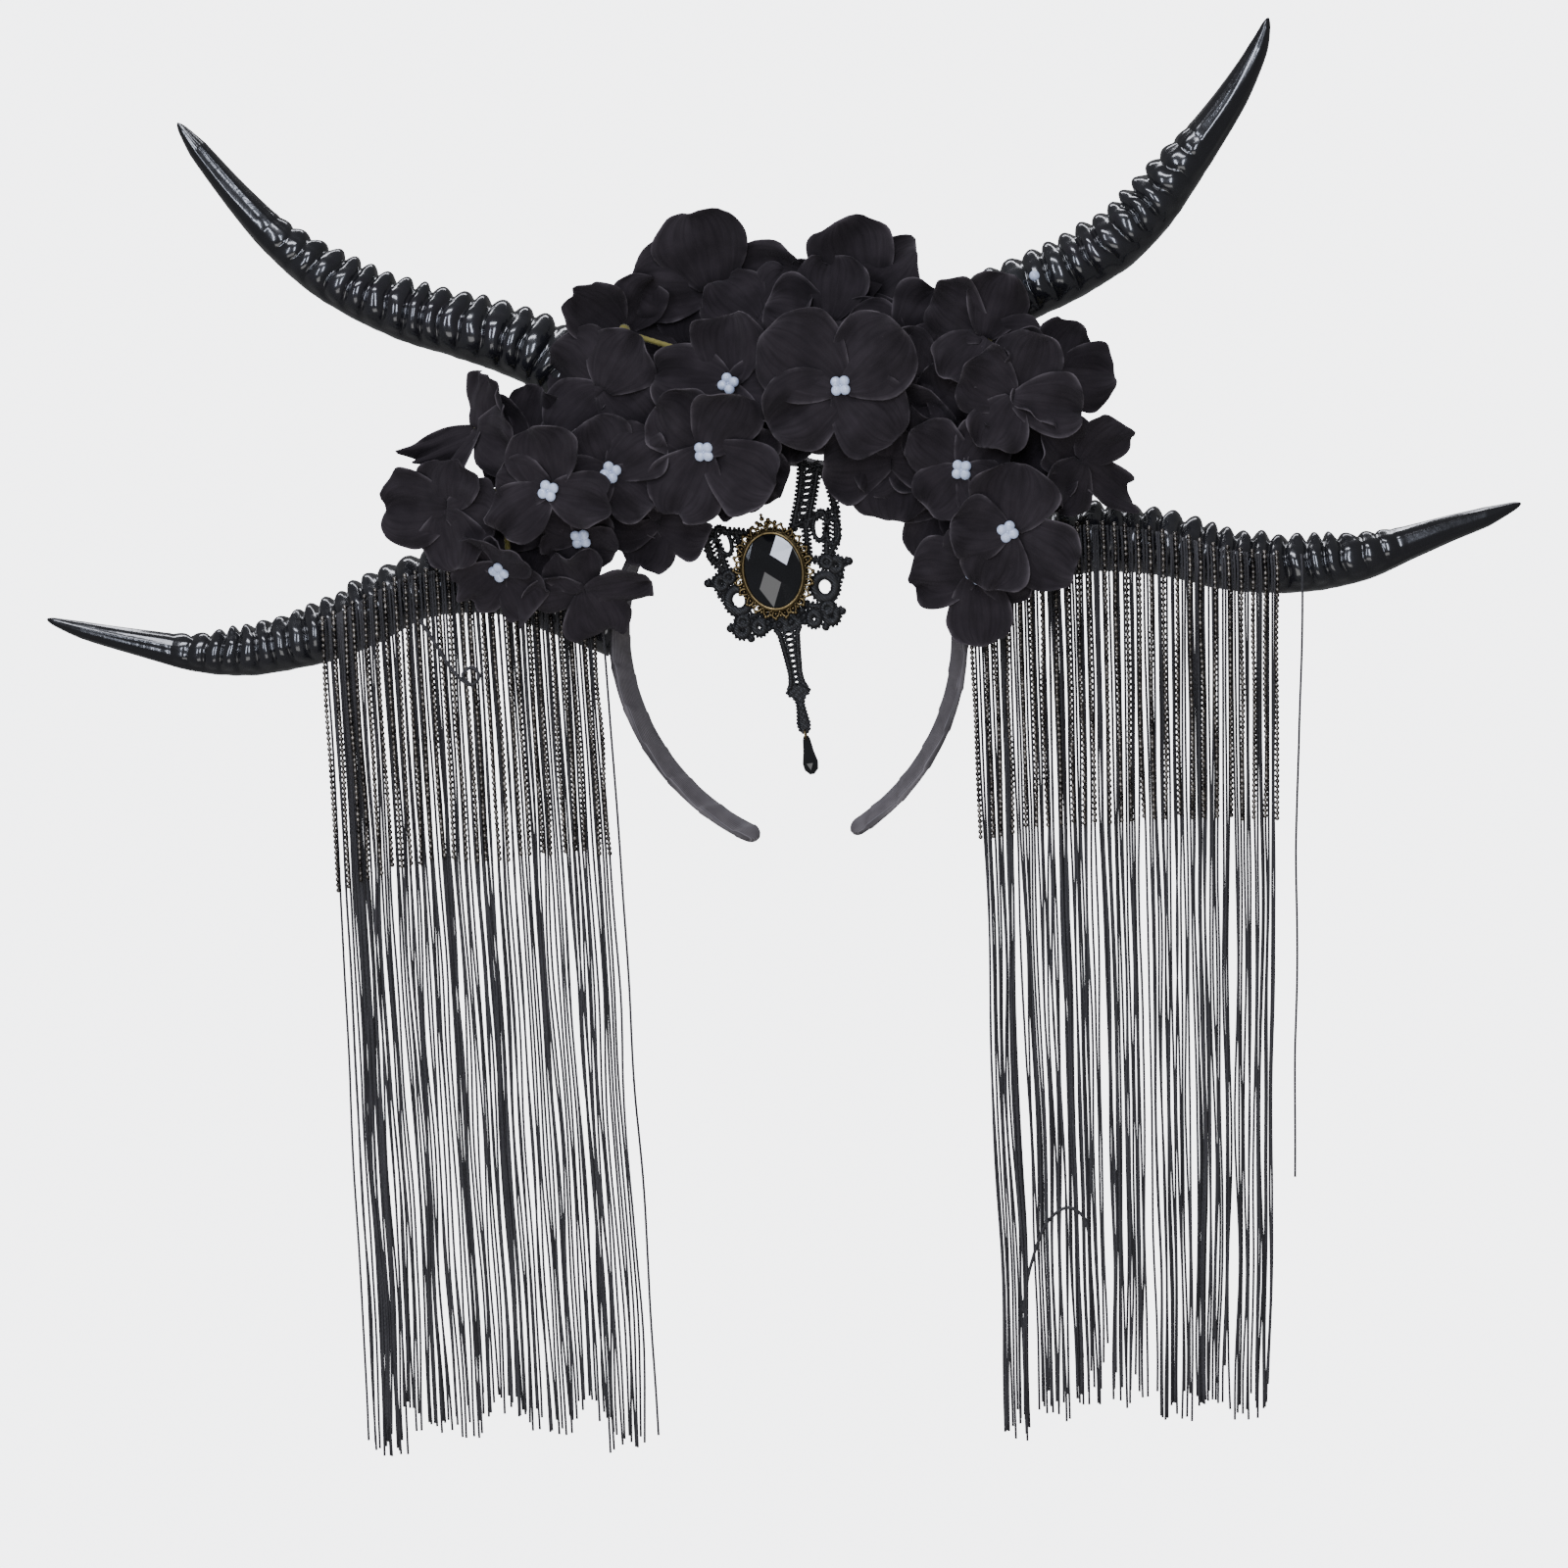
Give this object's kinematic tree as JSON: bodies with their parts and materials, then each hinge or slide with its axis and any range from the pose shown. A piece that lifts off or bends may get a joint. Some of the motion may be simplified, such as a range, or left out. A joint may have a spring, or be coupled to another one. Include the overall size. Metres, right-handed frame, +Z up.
{
  "type": "antelope horn headband",
  "caption": "Worn headband with four long ridged black horns, dark fabric blossoms, hanging bead chains and threads, and a lace pendant with an oval stone.",
  "frame": {"origin": "inside of the band at its top, where the band sits on a head", "axes": "+Z up, +X to the viewer's right along the lower horns, the front with the blossoms faces -Y"},
  "size_m": [0.574, 0.0707, 0.5394],
  "materials": {
    "satin": "charcoal satin ribbon",
    "lacquer": "glossy black",
    "silk": "matte charcoal petal cloth",
    "pearl": "pale blue pearl",
    "stem": "olive wrapped wire",
    "chain": "dark antique",
    "thread": "black thread",
    "lace": "black cotton lace",
    "brass": "antique",
    "stone": "polished black, faceted"
  },
  "bodies": {
    "root": {"headband": "satin", "horn_upper_left": "lacquer", "horn_upper_right": "lacquer", "horn_lower_left": "lacquer", "horn_lower_right": "lacquer", "chain_curtain_left": "chain", "chain_curtain_right": "chain", "thread_fringe_left": "thread", "thread_fringe_right": "thread", "stem_spray_left": "stem", "stem_spray_top": "stem", "stem_spray_right": "stem", "blossom_left_1": "silk", "blossom_left_2": "silk", "blossom_left_3": "silk", "blossom_left_4": "silk", "blossom_left_5": "silk", "blossom_left_6": "silk", "blossom_left_7": "silk", "blossom_left_8": "silk", "blossom_left_9": "silk", "blossom_top_1": "silk", "blossom_top_2": "silk", "blossom_top_3": "silk", "blossom_top_4": "silk", "blossom_top_5": "silk", "blossom_top_6": "silk", "blossom_right_1": "silk", "blossom_right_2": "silk", "blossom_right_3": "silk", "blossom_right_4": "silk", "blossom_right_5": "silk", "blossom_right_6": "silk", "blossom_right_7": "silk", "blossom_right_8": "silk", "blossom_right_9": "silk", "blossom_centre_left_3": "pearl", "blossom_centre_left_4": "pearl", "blossom_centre_left_6": "pearl", "blossom_centre_left_8": "pearl", "blossom_centre_top_4": "pearl", "blossom_centre_top_5": "pearl", "blossom_centre_top_6": "pearl", "blossom_centre_right_3": "pearl", "blossom_centre_right_5": "pearl", "blossom_centre_right_6": "pearl", "horn_pearl": "pearl", "pendant_lace": "lace", "pendant_setting": "brass", "pendant_stone": "stone", "jump_ring": "brass", "drop_bead": "stone"}
  },
  "joints": []
}
